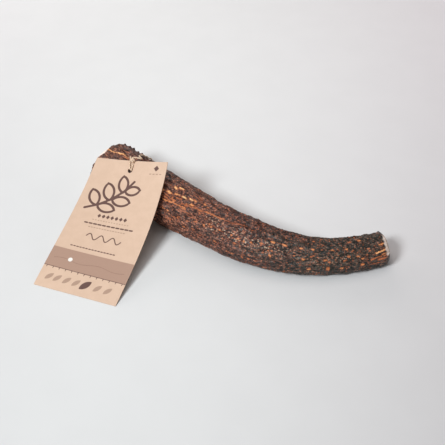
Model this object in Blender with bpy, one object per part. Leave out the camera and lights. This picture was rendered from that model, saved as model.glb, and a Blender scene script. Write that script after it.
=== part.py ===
# A piece of deer antler beam, sawn and sanded at both ends, with a card tag tied round it on twine.
# Metres, +Z up. The antler lies on Z = 0 with its length roughly along +X, the card leans on it,
# and the origin is on the ground under the middle of the whole thing.

import math

import bmesh
import bpy
import numpy as np
from mathutils import Vector

MM = 0.001

# The beam's centreline, seen from above: straight at first, then a growing bend to the left.
THICK_END = (-83.2 * MM, 62.9 * MM)
START_HEADING = math.radians(-41.0)
BEND_TURN = math.radians(74.2)
BEND_FROM = 88.5 * MM
BEND_TO = 289 * MM
SKIN_FROM = 0.2 * MM
SKIN_TO = 243.7 * MM

# The beam's girth. The thick end is a little wider than it is high.
THICK_RADIUS = 20.0 * MM
THIN_RADIUS = 12.15 * MM
TAPER_FROM = -12.5 * MM
TAPER_TO = 260 * MM
BELLY_AT = 140 * MM
BELLY_SPREAD = 35 * MM
BELLY_RISE = 1.15 * MM
FLATNESS = 0.11
FLATNESS_TO = 200 * MM

# The hollow under the thick end, where the twine passes between antler and ground.
HOLLOW_AT = 35 * MM
HOLLOW_SPREAD = 14 * MM
HOLLOW_DEPTH = 2.8 * MM
SINK = 0.25 * MM

# Saw cuts: heading away from the beam's own, tilt upward, and how far the sanded end domes out.
THICK_CUT = (0.0, 0.0, 3.0 * MM)
THIN_CUT = (math.radians(-17.7), math.radians(14.0), 3.9 * MM)
# Where the dome's rings are, as shares of the rim, down to the flat middle of each cut.
DOME_SHARES = (0.93, 0.82, 0.67, 0.5, 0.35)

# Ridges that run along the beam: number round it, how far each wanders in radians,
# the length of a wander, phase and height.
RIDGES = (
    (17, 0.11, 31 * MM, 0.4, 0.42 * MM),
    (11, 0.16, 47 * MM, 2.1, 0.35 * MM),
    (7, 0.20, 39 * MM, 4.4, 0.27 * MM),
)
# Knobs in rows: number round, length of one, phase and height.
KNOBS = (
    (13, 11.5 * MM, 0.9, 0.28 * MM),
    (9, 16.0 * MM, 3.7, 0.25 * MM),
)
# Single lumps and dents: distance along, angle round in degrees, reach along, reach round, height.
LUMPS = (
    (8 * MM, 35, 6 * MM, 22, 0.5 * MM),
    (23 * MM, 32, 9 * MM, 24, -0.9 * MM),
    (10 * MM, 132, 10 * MM, 24, 0.2 * MM),
    (37 * MM, 124, 15 * MM, 26, -0.8 * MM),
    (74 * MM, 225, 12 * MM, 26, 0.7 * MM),
    (112 * MM, 222, 14 * MM, 30, -0.8 * MM),
    (150 * MM, 60, 16 * MM, 30, 0.5 * MM),
    (183 * MM, 232, 15 * MM, 32, 0.6 * MM),
)
# The relief is this strong at the thin end, and full at the thick one.
THIN_RELIEF = 0.65
RINGS = 69
SIDES = 48

# The tag: a card that stands on its lower edge and leans on the beam, curved as it leans.
TAG_WIDTH = 65 * MM
TAG_HEIGHT = 120 * MM
TAG_THICKNESS = 0.5 * MM
TAG_FOOT = (-99.0 * MM, -67.8 * MM)
TAG_YAW = (20.4, 19.5, 16.4)
TAG_PITCH = (16.0, 17.6, 32.8)
TAG_ROLL = (0.0, 3.4, 16.7)
TAG_CURL = 2.0 * MM
TAG_COLUMNS = 8
TAG_ROWS = 18
HOLE_RADIUS = 2.1 * MM
HOLE_HEIGHT = 111.8 * MM

# The twine and its knot. The knot's place is across the card, up it and out from it.
TWINE_RADIUS = 0.65 * MM
TWINE_GAP = 0.33 * MM
KNOT_RADIUS = 1.6 * MM
KNOT_PLACE = (1.5 * MM, TAG_HEIGHT - 0.6 * MM, 2.3 * MM)
# The turn round the beam, in degrees round the section: where it starts, ends and how fine it is.
WRAP_DEGREES = (122, 434, 8)
# Where that turn runs along the beam: up the back, how much further along in front, and how much
# it comes back as it leaves the card.
WRAP_BACK = 26 * MM
WRAP_FRONT = 18 * MM
WRAP_LEAVE = 4.5 * MM

GRID = 601


def smooth(t):
    """Smoothstep from 0 to 1."""
    t = np.clip(t, 0.0, 1.0)
    return t * t * (3.0 - 2.0 * t)


def through(low, middle, high, t):
    """Parabola through three values at t = 0, 0.5 and 1."""
    return low + (-3 * low + 4 * middle - high) * t + (2 * low - 4 * middle + 2 * high) * t * t


def running_sum(values, step):
    """Trapezoid integral of values, starting from zero."""
    return np.concatenate([[0.0], np.cumsum((values[1:] + values[:-1]) * step / 2)])


def heading(s):
    """Direction of the beam in plan at distance s along it."""
    return START_HEADING + BEND_TURN * smooth((s - BEND_FROM) / (BEND_TO - BEND_FROM))


def axis_plan(s):
    """Plan position of the beam's centreline at distance s."""
    table = np.linspace(-0.02, 0.27, GRID)
    step = table[1] - table[0]
    x = running_sum(np.cos(heading(table)), step)
    y = running_sum(np.sin(heading(table)), step)
    x = x - np.interp(0.0, table, x) + THICK_END[0]
    y = y - np.interp(0.0, table, y) + THICK_END[1]
    return np.interp(s, table, x), np.interp(s, table, y)


def hollow(s):
    """1 over the hollow under the beam, falling to 0 on both sides."""
    return np.exp(-(((s - HOLLOW_AT) / HOLLOW_SPREAD) ** 2))


def half_sizes(s):
    """Half width and half height of the section at s, before the relief."""
    taper = 1 - smooth((s - TAPER_FROM) / (TAPER_TO - TAPER_FROM))
    belly = BELLY_RISE * np.exp(-(((s - BELLY_AT) / BELLY_SPREAD) ** 2))
    radius = THIN_RADIUS + (THICK_RADIUS - THIN_RADIUS) * taper + belly
    flat = FLATNESS * (1 - smooth(s / FLATNESS_TO))
    return radius * (1 + flat), radius * (1 - flat) - HOLLOW_DEPTH / 2 * hollow(s)


def relief(s, angle):
    """Height of ridges, knobs and lumps over the plain section."""
    height = np.zeros(np.broadcast(s, angle).shape)
    strength = THIN_RELIEF + (1 - THIN_RELIEF) * (1 - smooth(s / SKIN_TO))
    for count, wander, length, phase, rise in RIDGES:
        sway = wander * np.sin(2 * np.pi * s / length + phase)
        height += strength * rise * np.cos(count * (angle + sway) + phase)
    for count, length, phase, rise in KNOBS:
        rows = np.sin(2 * np.pi * s / length + 2.0 * np.sin(3 * angle + phase))
        height += rise * rows * np.cos(count * angle + phase + s / length)
    for at, around, reach, spread, rise in LUMPS:
        turn = (angle - math.radians(around) + np.pi) % (2 * np.pi) - np.pi
        bump = ((s - at) / reach) ** 2 + (turn / math.radians(spread)) ** 2
        height += rise * np.exp(-bump)
    return height


def beam_point(s, angle, lift=0.0):
    """Point on the skin at distance s and angle round (0 is the inside of the bend, 90 is up)."""
    x, y = axis_plan(s)
    turn = heading(s)
    wide, high = half_sizes(s)
    out = relief(s, angle) + lift
    tilt = np.hypot(np.cos(angle) / wide, np.sin(angle) / high)
    across = wide * np.cos(angle) + out * np.cos(angle) / wide / tilt
    up = high * np.sin(angle) + out * np.sin(angle) / high / tilt
    z = high + HOLLOW_DEPTH * hollow(s) - SINK + up
    return np.stack([x - across * np.sin(turn), y + across * np.cos(turn), z], axis=-1)


def cut_frame(s, cut, outward):
    """Centre, beam direction and outward normal of a saw cut."""
    x, y = axis_plan(s)
    high = half_sizes(s)[1]
    centre = np.array([x, y, high + HOLLOW_DEPTH * hollow(s) - SINK])
    turn = heading(s)
    along = np.array([math.cos(turn), math.sin(turn), 0.0])
    face = turn + cut[0]
    level = math.cos(cut[1])
    normal = np.array([math.cos(face) * level, math.sin(face) * level, math.sin(cut[1])])
    return centre, along, normal * outward


def slide_to_cut(points, frame):
    """Slide points along the beam until they lie in the plane of a cut."""
    centre, along, normal = frame
    return points - ((points - centre) @ normal / (along @ normal))[..., None] * along


def end_rings(rim, frame, dome):
    """Rings from a rim inward over the sanded edge, then the flat middle's own ring and centre."""
    centre, _, normal = frame
    flat = DOME_SHARES[-1]
    rings = []
    for share in DOME_SHARES:
        step = (share - flat) / (1 - flat)
        rings.append(centre + (rim - centre) * share + normal * dome * (1 - step * step))
    return rings, centre + normal * dome


def antler_rows():
    """Rows of points down the beam, from the thick cut to the thin one, with both ends' rings."""
    angle = np.linspace(0, 2 * np.pi, SIDES, endpoint=False)
    thick = cut_frame(SKIN_FROM, THICK_CUT, -1)
    thin = cut_frame(SKIN_TO, THIN_CUT, 1)
    wide, high = half_sizes(SKIN_TO)
    turn = heading(SKIN_TO)
    rim = np.stack([-wide * np.cos(angle) * math.sin(turn), wide * np.cos(angle) * math.cos(turn),
                    high * np.sin(angle)], axis=-1)
    reach = -(rim @ thin[2]) / (thin[1] @ thin[2])
    share = np.linspace(0, 1, RINGS)[:, None]
    s = SKIN_FROM + (SKIN_TO + reach - SKIN_FROM) * share
    rows = beam_point(s, angle[None, :] + 0 * s)
    rows[0] = slide_to_cut(rows[0], thick)
    rows[-1] = slide_to_cut(rows[-1], thin)
    first, thick_middle = end_rings(rows[0], thick, THICK_CUT[2])
    last, thin_middle = end_rings(rows[-1], thin, THIN_CUT[2])
    rows = np.concatenate([np.array(first[::-1]), rows, np.array(last)])
    rows[..., 2] = np.maximum(rows[..., 2], 0.0)
    return rows, thick_middle, thin_middle


def material(name, colour, roughness):
    """Plain material of one colour."""
    made = bpy.data.materials.new(name)
    made.use_nodes = True
    shader = made.node_tree.nodes["Principled BSDF"]
    shader.inputs["Base Color"].default_value = (*colour, 1.0)
    shader.inputs["Roughness"].default_value = roughness
    shader.inputs["Metallic"].default_value = 0.0
    made.diffuse_color = (*colour, 1.0)
    return made


def add_object(name, data, finish):
    """Put data in the scene as a named object with one material."""
    made = bpy.data.objects.new(name, data)
    bpy.context.scene.collection.objects.link(made)
    data.materials.append(finish)
    return made


def make_antler():
    """The beam: a skin of rings between two sanded saw cuts, one closed solid."""
    rows, thick_middle, thin_middle = antler_rows()
    shape = bmesh.new()
    rings = [[shape.verts.new(point) for point in row] for row in rows]
    for near, far in zip(rings[:-1], rings[1:]):
        for i in range(SIDES):
            j = (i + 1) % SIDES
            shape.faces.new((near[i], near[j], far[j], far[i]))
    for ring, middle in ((rings[0], thick_middle), (rings[-1], thin_middle)):
        hub = shape.verts.new(middle)
        for i in range(SIDES):
            shape.faces.new((ring[i], ring[(i + 1) % SIDES], hub))
    bmesh.ops.triangulate(shape, faces=[face for face in shape.faces if len(face.verts) == 4])
    bmesh.ops.recalc_face_normals(shape, faces=shape.faces)
    data = bpy.data.meshes.new("antler")
    shape.to_mesh(data)
    shape.free()
    data.shade_smooth()
    data.set_sharp_from_angle(angle=math.radians(40))
    return add_object("antler", data, material("antler_skin", (0.085, 0.042, 0.025), 0.5))


def tag_frames(height):
    """Middle of the card, its width direction and its front normal at each distance up it."""
    table = np.linspace(0, TAG_HEIGHT, GRID)
    share = table / TAG_HEIGHT
    yaw = np.radians(through(*TAG_YAW, share))
    pitch = np.radians(through(*TAG_PITCH, share))
    roll = np.radians(through(*TAG_ROLL, share))
    up = np.stack([np.sin(yaw) * np.cos(pitch), np.cos(yaw) * np.cos(pitch), np.sin(pitch)], axis=-1)
    level = np.stack([np.cos(yaw), -np.sin(yaw), 0 * yaw], axis=-1)
    upright = np.cross(level, up)
    across = np.cos(roll)[:, None] * level + np.sin(roll)[:, None] * upright
    foot = (TAG_FOOT[0], TAG_FOOT[1], TAG_THICKNESS / 2 * math.cos(pitch[0]))
    middle = np.stack([running_sum(up[:, k], table[1]) + foot[k] for k in range(3)], axis=-1)
    front = np.cross(across, up)
    pick = np.clip(height, 0, TAG_HEIGHT)
    found = []
    for line in (middle, across, front, up):
        found.append(np.stack([np.interp(pick, table, line[:, k]) for k in range(3)], axis=-1))
    return found[0] + found[3] * (height - pick)[..., None], found[1], found[2]


def tag_point(across, height, out=0.0):
    """Point at a distance across the card from its middle, up it, and out from its middle layer."""
    middle, side, front = tag_frames(height)
    share = across / (TAG_WIDTH / 2)
    curl = TAG_CURL * (share * share - 1 / 3) * height / TAG_HEIGHT
    return middle + side * across[..., None] + front * (curl + out)[..., None]


def make_hole_cutter():
    """Round bar through the card where the punched hole is."""
    place = np.array([HOLE_HEIGHT])
    centre = tag_point(0 * place, place)[0]
    front = tag_frames(place)[2][0]
    shape = bmesh.new()
    bmesh.ops.create_cone(shape, cap_ends=True, segments=16, radius1=HOLE_RADIUS, radius2=HOLE_RADIUS,
                          depth=8 * MM)
    data = bpy.data.meshes.new("hole_cutter")
    shape.to_mesh(data)
    shape.free()
    cutter = bpy.data.objects.new("hole_cutter", data)
    bpy.context.scene.collection.objects.link(cutter)
    cutter.location = Vector(centre)
    cutter.rotation_mode = "QUATERNION"
    cutter.rotation_quaternion = Vector(front).to_track_quat("Z", "Y")
    cutter.hide_render = True
    cutter.display_type = "WIRE"
    return cutter


def make_tag():
    """The card: one curved sheet of even thickness with the twine's hole through it."""
    across = np.linspace(-TAG_WIDTH / 2, TAG_WIDTH / 2, TAG_COLUMNS + 1)
    height = np.linspace(0, TAG_HEIGHT, TAG_ROWS + 1)
    across, height = np.meshgrid(across, height)
    points = tag_point(across, height)
    shape = bmesh.new()
    rows = [[shape.verts.new(point) for point in row] for row in points]
    for low, high in zip(rows[:-1], rows[1:]):
        for i in range(TAG_COLUMNS):
            shape.faces.new((low[i], low[i + 1], high[i + 1], high[i]))
    bmesh.ops.triangulate(shape, faces=shape.faces)
    data = bpy.data.meshes.new("tag")
    shape.to_mesh(data)
    shape.free()
    made = add_object("tag", data, material("tag_card", (0.80, 0.58, 0.43), 0.8))
    thick = made.modifiers.new("thickness", "SOLIDIFY")
    thick.thickness = TAG_THICKNESS
    thick.offset = 0.0
    hole = made.modifiers.new("hole", "BOOLEAN")
    hole.operation = "DIFFERENCE"
    hole.object = make_hole_cutter()
    return made


def twine_on_tag(route):
    """Points of a route given in millimetres across the card, up it and out from it."""
    across, height, out = (np.array(column) * MM for column in zip(*route))
    return tag_point(across, height, out)


def twine_to_beam():
    """The twine from the knot: down the front of the card, through the hole and off behind it."""
    top = TAG_HEIGHT / MM
    hole = HOLE_HEIGHT / MM
    off = (TAG_THICKNESS / 2 + TWINE_GAP + TWINE_RADIUS) / MM
    return twine_on_tag([
        (1.5, top - 3.3, off + 0.1), (1.55, top - 4.4, off), (1.55, hole + 2.4, off), (1.4, hole + 1.3, off),
        (1.15, hole + 0.65, 0.9 * off), (1.02, hole + 0.3, 0.25 * off), (1.02, hole + 0.3, -0.45 * off),
        (1.35, hole + 0.45, -off),
        (2.5, hole + 0.5, -off - 0.1), (4.2, hole + 0.4, -off - 0.2),
    ])


def twine_round_beam():
    """The twine round the beam: down its front, under it, up the back and over the top."""
    degrees = np.arange(*WRAP_DEGREES, dtype=float)
    turn = np.radians(degrees)
    s = WRAP_BACK + WRAP_FRONT * smooth((330 - degrees) / 170) - WRAP_LEAVE * smooth((138 - degrees) / 24)
    highest = np.full(turn.shape, -1.0)
    for ahead in (-1.2 * MM, 0.0, 1.2 * MM):
        for aside in (-0.05, 0.0, 0.05):
            highest = np.maximum(highest, relief(s + ahead, turn + aside))
    lift = highest - relief(s, turn) + TWINE_GAP + TWINE_RADIUS
    points = beam_point(s, turn, lift)
    points[:, 2] = np.maximum(points[:, 2], TWINE_RADIUS)
    return points


def twine_back_to_knot():
    """The twine from the beam: past the knot, down the card again, through the hole and up behind."""
    top = TAG_HEIGHT / MM
    hole = HOLE_HEIGHT / MM
    off = (TAG_THICKNESS / 2 + TWINE_GAP + TWINE_RADIUS) / MM
    return twine_on_tag([
        (4.9, top + 2.4, 0.0), (3.5, top + 2.4, 1.0), (1.8, top + 2.2, 1.7), (0.1, top + 1.8, 1.95),
        (-1.2, top + 0.5, 1.9), (-1.6, top - 1.1, off + 0.2), (-1.4, top - 3.0, off), (-0.75, hole + 3.2, off),
        (-0.4, hole + 1.9, off), (-0.35, hole + 1.25, 0.9 * off), (-0.35, hole + 1.0, 0.25 * off),
        (-0.35, hole + 1.02, -0.45 * off), (-0.45, hole + 1.55, -1.05 * off), (-0.8, top - 4.0, -off),
        (-0.6, top - 0.6, -off - 0.1), (-0.5, top + 0.7, -0.85 * off), (-0.2, top + 1.2, 0.0),
    ])


def twine_route():
    """All the points that the twine passes, from one side of the knot to the other."""
    return np.concatenate([twine_to_beam(), twine_round_beam(), twine_back_to_knot()])


def make_twine():
    """The twine: one open tube from the knot through the tag, round the beam and back to the knot."""
    points = twine_route()
    line = bpy.data.curves.new("twine", "CURVE")
    line.dimensions = "3D"
    spline = line.splines.new("POLY")
    spline.points.add(len(points) - 1)
    for slot, point in zip(spline.points, points):
        slot.co = (*point, 1.0)
    line.bevel_depth = TWINE_RADIUS
    line.bevel_resolution = 2
    line.use_fill_caps = True
    return add_object("twine", line, material("twine_fibre", (0.72, 0.60, 0.45), 0.9))


def make_knot():
    """The knot: the closed outer shape of the twine's overhand knot at the card's top edge."""
    across, height, out = (np.array([value]) for value in KNOT_PLACE)
    place = tag_point(across, height, out)[0]
    shape = bmesh.new()
    bmesh.ops.create_icosphere(shape, subdivisions=2, radius=KNOT_RADIUS)
    data = bpy.data.meshes.new("twine_knot")
    shape.to_mesh(data)
    shape.free()
    data.shade_smooth()
    made = add_object("twine_knot", data, bpy.data.materials["twine_fibre"])
    made.location = Vector(place)
    return made


def main():
    """Clear the scene and make the four pieces."""
    for old in list(bpy.data.objects):
        bpy.data.objects.remove(old, do_unlink=True)
    make_antler()
    make_tag()
    make_twine()
    make_knot()


main()
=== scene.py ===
"""Looks of a piece of deer antler with a card tag tied round it: skin, sawn ends, card, twine, light."""
import math

import bpy
import numpy as np
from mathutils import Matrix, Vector


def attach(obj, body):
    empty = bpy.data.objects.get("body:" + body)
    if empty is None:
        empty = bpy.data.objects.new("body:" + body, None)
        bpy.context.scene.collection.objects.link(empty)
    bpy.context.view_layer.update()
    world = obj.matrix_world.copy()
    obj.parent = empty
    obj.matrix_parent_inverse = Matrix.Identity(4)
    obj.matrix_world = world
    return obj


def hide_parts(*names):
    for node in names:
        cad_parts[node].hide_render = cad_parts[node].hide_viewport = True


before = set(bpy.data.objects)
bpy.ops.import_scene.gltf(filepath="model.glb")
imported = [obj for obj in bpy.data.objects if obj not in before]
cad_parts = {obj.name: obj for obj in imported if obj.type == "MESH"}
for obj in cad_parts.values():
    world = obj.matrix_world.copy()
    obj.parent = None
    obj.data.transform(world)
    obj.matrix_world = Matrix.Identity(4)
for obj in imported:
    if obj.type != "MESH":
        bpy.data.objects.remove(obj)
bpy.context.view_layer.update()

MM = 0.001
TURN = 2 * np.pi

# The beam, as in the part: centreline in plan, girth, hollow under the thick end and saw cuts.
THICK_END = (-83.2 * MM, 62.9 * MM)
START_HEADING = math.radians(-41.0)
BEND_TURN = math.radians(74.2)
BEND_FROM = 88.5 * MM
BEND_TO = 289 * MM
SKIN_FROM = 0.2 * MM
SKIN_TO = 243.7 * MM
THICK_RADIUS = 20.0 * MM
THIN_RADIUS = 12.15 * MM
TAPER_FROM = -12.5 * MM
TAPER_TO = 260 * MM
BELLY_AT = 140 * MM
BELLY_SPREAD = 35 * MM
BELLY_RISE = 1.15 * MM
FLATNESS = 0.11
FLATNESS_TO = 200 * MM
HOLLOW_AT = 35 * MM
HOLLOW_SPREAD = 14 * MM
HOLLOW_DEPTH = 2.8 * MM
SINK = 0.25 * MM
THICK_CUT = (0.0, 0.0, 3.0 * MM)
THIN_CUT = (math.radians(-17.7), math.radians(14.0), 3.9 * MM)
FLAT_SHARE = 0.35
# Ridges: how many round, wander, length, phase and rise. Knobs: how many round, length, phase and
# rise. Lumps: distance along, degrees round, reach along, degrees of reach round and rise. Lengths,
# distances and rises are in millimetres.
RIDGES = ((17, 0.11, 31, 0.4, 0.42), (11, 0.16, 47, 2.1, 0.35), (7, 0.20, 39, 4.4, 0.27))
KNOBS = ((13, 11.5, 0.9, 0.28), (9, 16.0, 3.7, 0.25))
LUMPS = (
    (8, 35, 6, 22, 0.5), (23, 32, 9, 24, -0.9), (10, 132, 10, 24, 0.2), (37, 124, 15, 26, -0.8),
    (74, 225, 12, 26, 0.7), (112, 222, 14, 30, -0.8), (150, 60, 16, 30, 0.5), (183, 232, 15, 32, 0.6),
)
THIN_RELIEF = 0.65
# Large pearls: distance along, degrees round, length, width in degrees, slant, height and brightness.
# The last six are dark and stand up in the outline. Distances, lengths and heights in millimetres.
PEARLS = (
    (66.5, 114.5, 4, 11, 0.1, 0.4, 0.9), (72.2, 110.5, 6.4, 8, 0, 0.4, 0.9),
    (78.8, 105.5, 7, 8, -0.1, 0.45, 0.85), (85.4, 103.5, 7, 9, 0.1, 0.5, 1),
    (90.8, 98.5, 7.4, 8, 0.2, 0.5, 1.05), (95.5, 99, 4, 7, 0.1, 0.4, 0.8),
    (95, 112, 6.4, 7, -0.1, 0.4, 0.85), (73.2, 92, 5.4, 9, 0.3, 0.4, 0.95),
    (78, 87.5, 8, 6, -0.1, 0.4, 0.95), (68.7, 94.5, 2.2, 6, 0, 0.3, 0.6),
    (102.6, 92, 3, 7, 0.1, 0.35, 0.75), (106.7, 96.5, 2.6, 5, 0, 0.3, 0.55),
    (75.1, 151, 7, 4, 0.05, 0.3, 0.7), (79.8, 151, 3.4, 5, 0, 0.35, 0.8),
    (86.2, 160.5, 2.6, 6, 0.2, 0.3, 0.5), (89.3, 157, 2.6, 7, 0.1, 0.3, 0.55),
    (79.8, 122, 5.5, 4, 0, 0.3, 0.65), (91.3, 127.5, 7, 4, 0.1, 0.3, 0.7),
    (111.7, 141, 2.6, 5, 0.1, 0.35, 0.75), (117.8, 138, 2.4, 5, 0, 0.35, 0.75),
    (105.4, 141.5, 2.2, 6, 0.2, 0.3, 0.55), (81.9, 170, 8, 4, -0.05, 0.3, 0.5),
    (96.6, 171.5, 4, 6, 0, 0.3, 0.5), (98.6, 151.5, 2.6, 4, 0.1, 0.3, 0.55),
    (103.7, 114.5, 4, 4, 0, 0.3, 0.65), (69.2, 151.5, 3.6, 3, 0, 0.3, 0.6),
    (139.5, 99.5, 3, 6, 0.1, 0.3, 0.6), (124.5, 135.5, 2.8, 6, 0.1, 0.4, 0.8),
    (134, 136, 2.2, 6, 0.2, 0.4, 0.8), (139.1, 138.5, 2.2, 6, 0, 0.4, 0.8),
    (143.5, 141, 2.2, 6, 0.1, 0.4, 0.85), (155.2, 131.5, 3.4, 5, 0.1, 0.4, 0.8),
    (162.3, 157.5, 2.8, 8, 0.1, 0.45, 0.85), (162.5, 120, 4.4, 8, 0.1, 0.45, 0.95),
    (170.3, 120.5, 4.4, 9, 0.1, 0.45, 0.85), (181.4, 120, 3.6, 8, 0.1, 0.45, 0.85),
    (189.5, 121, 3, 7, 0, 0.4, 0.9), (195.3, 120.5, 2.4, 6, 0, 0.35, 0.6),
    (202.5, 120.5, 3.6, 7, 0.1, 0.4, 0.85), (212.5, 119, 3.2, 10, 0, 0.4, 0.9),
    (183.4, 153, 2.8, 10, 0.1, 0.4, 0.9), (197.7, 153, 3.6, 8, 0.1, 0.4, 0.8),
    (200.4, 159, 2.2, 5, 0, 0.35, 0.7), (210.2, 155.5, 2.8, 7, 0.1, 0.35, 0.65),
    (213.3, 143.5, 2.8, 8, 0.1, 0.4, 0.7), (219.6, 146.5, 3.8, 6, 0.1, 0.4, 0.8),
    (222.7, 156.5, 3.2, 8, 0.1, 0.4, 0.8), (225.8, 146, 2.6, 6, 0.1, 0.35, 0.7),
    (237.7, 158, 2.8, 9, 0, 0.35, 0.7), (228.6, 134.5, 2.8, 7, 0.1, 0.35, 0.6),
    (227.6, 126.5, 3, 6, 0.1, 0.35, 0.7), (238, 121, 5.4, 5, 0.05, 0.35, 0.7),
    (187.5, 188, 3.4, 13, 0, 0.45, 0.95), (199.5, 182.5, 3, 14, 0.1, 0.4, 0.7),
    (208.6, 185.5, 3.8, 13, 0, 0.45, 0.85), (222.6, 179.5, 3.4, 9, 0.1, 0.4, 0.8),
    (143.9, 187, 2.4, 10, 0.1, 0.35, 0.6), (148.3, 187.5, 2.4, 10, 0, 0.35, 0.7),
    (133.1, 185.5, 2.4, 8, 0, 0.35, 0.6), (137, 187, 2.8, 10, 0.1, 0.35, 0.7),
    (123.7, 170.5, 4, 6, 0.1, 0.35, 0.65), (223.3, 89, 3.4, 10, 0.1, 0.4, 0.8),
    (215.6, 93.5, 3.6, 9, 0.1, 0.35, 0.6), (190, 88.5, 2.4, 7, 0, 0.35, 0.6),
    (177.4, 145.5, 2.6, 5, 0.1, 0.35, 0.7), (188.3, 143, 2.4, 7, 0.1, 0.35, 0.6),
    (1, 42, 3, 9, 0, 1.2, 0), (4.8, 37, 3, 9, 0, 1.6, 0), (8.6, 33, 2.8, 9, 0, 1.6, 0),
    (12.2, 27, 3, 11, 0, 1.9, 0), (16.4, 28, 3, 11, 0, 1.8, 0), (20.4, 33, 2.8, 9, 0, 1.2, 0),
)
# Bright threads on long ridges: points along and round, width and height in millimetres, brightness.
THREADS = (
    (((-0.3, 94), (4, 93.5), (7.7, 92), (12.2, 89),
      (14.5, 86), (17.5, 86.5), (20.2, 86.5), (22.2, 81.5)), 1.7, 0.6, 0.95),
    (((71.4, 132.5), (76.5, 131), (83.8, 127.5), (91.9, 127)), 1.3, 0.35, 0.7),
    (((88.2, 119.5), (96, 117.5), (102.7, 112), (110.2, 110.5)), 1.2, 0.35, 0.5),
    (((109, 110.5), (115.7, 108), (123.5, 107.5)), 1.3, 0.4, 0.62),
    (((122, 107.5), (130.2, 107), (140, 102)), 1.1, 0.35, 0.42),
    (((16.7, 92), (21, 91.5), (23.5, 88)), 1.4, 0.4, 0.6),
    (((232.6, 147), (235.6, 145.5), (239.5, 141.5), (243.6, 140)), 1.5, 0.4, 0.9),
    (((236.7, 157), (239.7, 155.5), (243.5, 152)), 1.2, 0.35, 0.75),
    (((228.5, 165.5), (232.6, 163.5), (236.6, 164)), 1.3, 0.35, 0.5),
    (((233.5, 172.5), (238.6, 172), (243.7, 173.5)), 1.4, 0.35, 0.45),
    (((226, 190), (233.9, 184.5), (238, 186)), 1.4, 0.35, 0.4),
    (((238.6, 164.5), (243.6, 164)), 1.2, 0.35, 0.5),
    (((236.5, 121), (239.6, 120), (243.5, 121)), 1.2, 0.35, 0.75),
)
# Soft places on the skin: millimetres along, degrees round, reach along and reach round. Each
# crumbly patch, where painted glints and painted shade in pits go, starts with its strength.
RAGGED = (20, 40, 17, 26)
RICH = ((86, 112, 26, 34), (140, 150, 60, 30))
CRUMB_GLINT_AND_SHADE = ((1, 140, 136, 36, 20), (1, 116, 118, 10, 9), (0.6, 205, 150, 26, 16))
BLACK_TOP = (150, 80, 90, 38)
ROSY_LOW = (90, 222, 55, 28)
WORN_AROUND = 104
WORN_RIM = (0, WORN_AROUND, 9, 9)
WORN_TO = 100 * MM
# Where skin reaches in over the thin saw cut, as a share of the rim, and places where it reaches
# further: degrees round, reach and fade in degrees, and how much.
SKIN_OVER_RIM = 0.86
SKIN_OVER_CUT = ((232, 66, 22, 0.38), (36, 44, 20, 0.14))
# Pearls from this many millimetres on are duller.
DULL_FROM = 120
DULL = 0.85
SKIN_ROWS = 500
SKIN_SIDES = 184
# Rings of a sawn end, each as a share of its rim.
RINGS = np.linspace(1, 0, 19)[1:-1, None] ** 0.8

# The card, as in the part.
TAG_WIDTH = 65 * MM
TAG_HEIGHT = 120 * MM
TAG_THICKNESS = 0.5 * MM
TAG_FOOT = (-99.0 * MM, -67.8 * MM)
TAG_YAW = (20.4, 19.5, 16.4)
TAG_PITCH = (16.0, 17.6, 32.8)
TAG_ROLL = (0.0, 3.4, 16.7)
TAG_CURL = 2.0 * MM
HOLE_RADIUS = 2.1 * MM
HOLE_HEIGHT = 111.8 * MM
CARD_CELL = 0.45 * MM
HOLE_PATCH = 7
HOLE_RINGS = 5
# The print, in millimetres across the card and up it. Rows of dashes: how many, start, step, length,
# height and half width.
STEM = ((-25, 74.5), (-16, 79), (-7, 85.5), (1, 93.5), (7, 102.5))
LEAVES = (
    ((-17, 78.5), (-25, 92), 4.0), ((-16, 78.5), (-1, 76.5), 3.8), ((-8, 84.5), (-14.5, 99), 4.2),
    ((-6, 85), (9, 84.5), 4.0), ((0.5, 92.5), (-3.5, 106.5), 3.8), ((2, 93.5), (14, 96), 3.6),
)
DARK_DASHES = ((11, -19.2, 3.7, 2.1, 61.8, 0.62), (15, -20.8, 2.45, 1.2, 39.4, 0.45))
PALE_DASHES = ((14, -14.3, 2.2, 0.8, 65.5, 0.35), (14, -14.8, 2.2, 1.1, 58.6, 0.35),
               (4, 18, 3, 1.4, 110, 0.4))
PALE_LEAVES = (-27, -20.5, -13, -5.5, 11.5, 19.5)
BAND_LOW = 18.2
BAND_HIGH = 35.4
# Layers of print from below to above: name, strength and screen colour.
INKS = (("band", 1, (163, 132, 115)), ("pale", 0.55, (122, 92, 78)), ("dark", 0.95, (84, 56, 52)),
        ("spot", 1, (228, 224, 218)))

# The twine, as in the part.
TWINE_RADIUS = 0.65 * MM
TWINE_GAP = 0.33 * MM
WRAP_DEGREES = (122, 434, 8)
WRAP_BACK = 26 * MM
WRAP_FRONT = 18 * MM
WRAP_LEAVE = 4.5 * MM
TWIST = 3.6 * MM
KNOT_RADIUS = 0.6 * MM
KNOT_TWIST = 3.4 * MM
TWINE_STEP = 0.22 * MM

# Camera: looks along +Y and down on the target.
TARGET = (6.8 * MM, 13.0 * MM, 0.0)
ELEVATION = math.radians(40)
DISTANCE = 775.2 * MM
LENS = 80.9

# Lights: name, azimuth and elevation in degrees, distance and size in metres, power in watts, tint.
COOL = (0.955, 1.0, 1.015)
WARM = (1.10, 1.0, 0.965)
LIGHTS = (
    ("key_light", -128, 42, 1.6, 0.38, 23.2, COOL),
    ("high_light", -118, 64, 1.6, 0.7, 3.5, COOL),
    ("top_light", 90, 86, 1.6, 1.0, 3.6, WARM),
    ("back_light", 105, 25, 1.8, 1.0, 6.4, WARM),
    ("left_light", 150, 24, 1.8, 0.9, 3.9, WARM),
    ("right_light", -5, 24, 1.8, 1.0, 3.5, WARM),
)
LIGHT_AIM = (0.0, 0.0, 0.02)
SKY = 0.14
FLOOR_SHADE = 0.74
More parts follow.
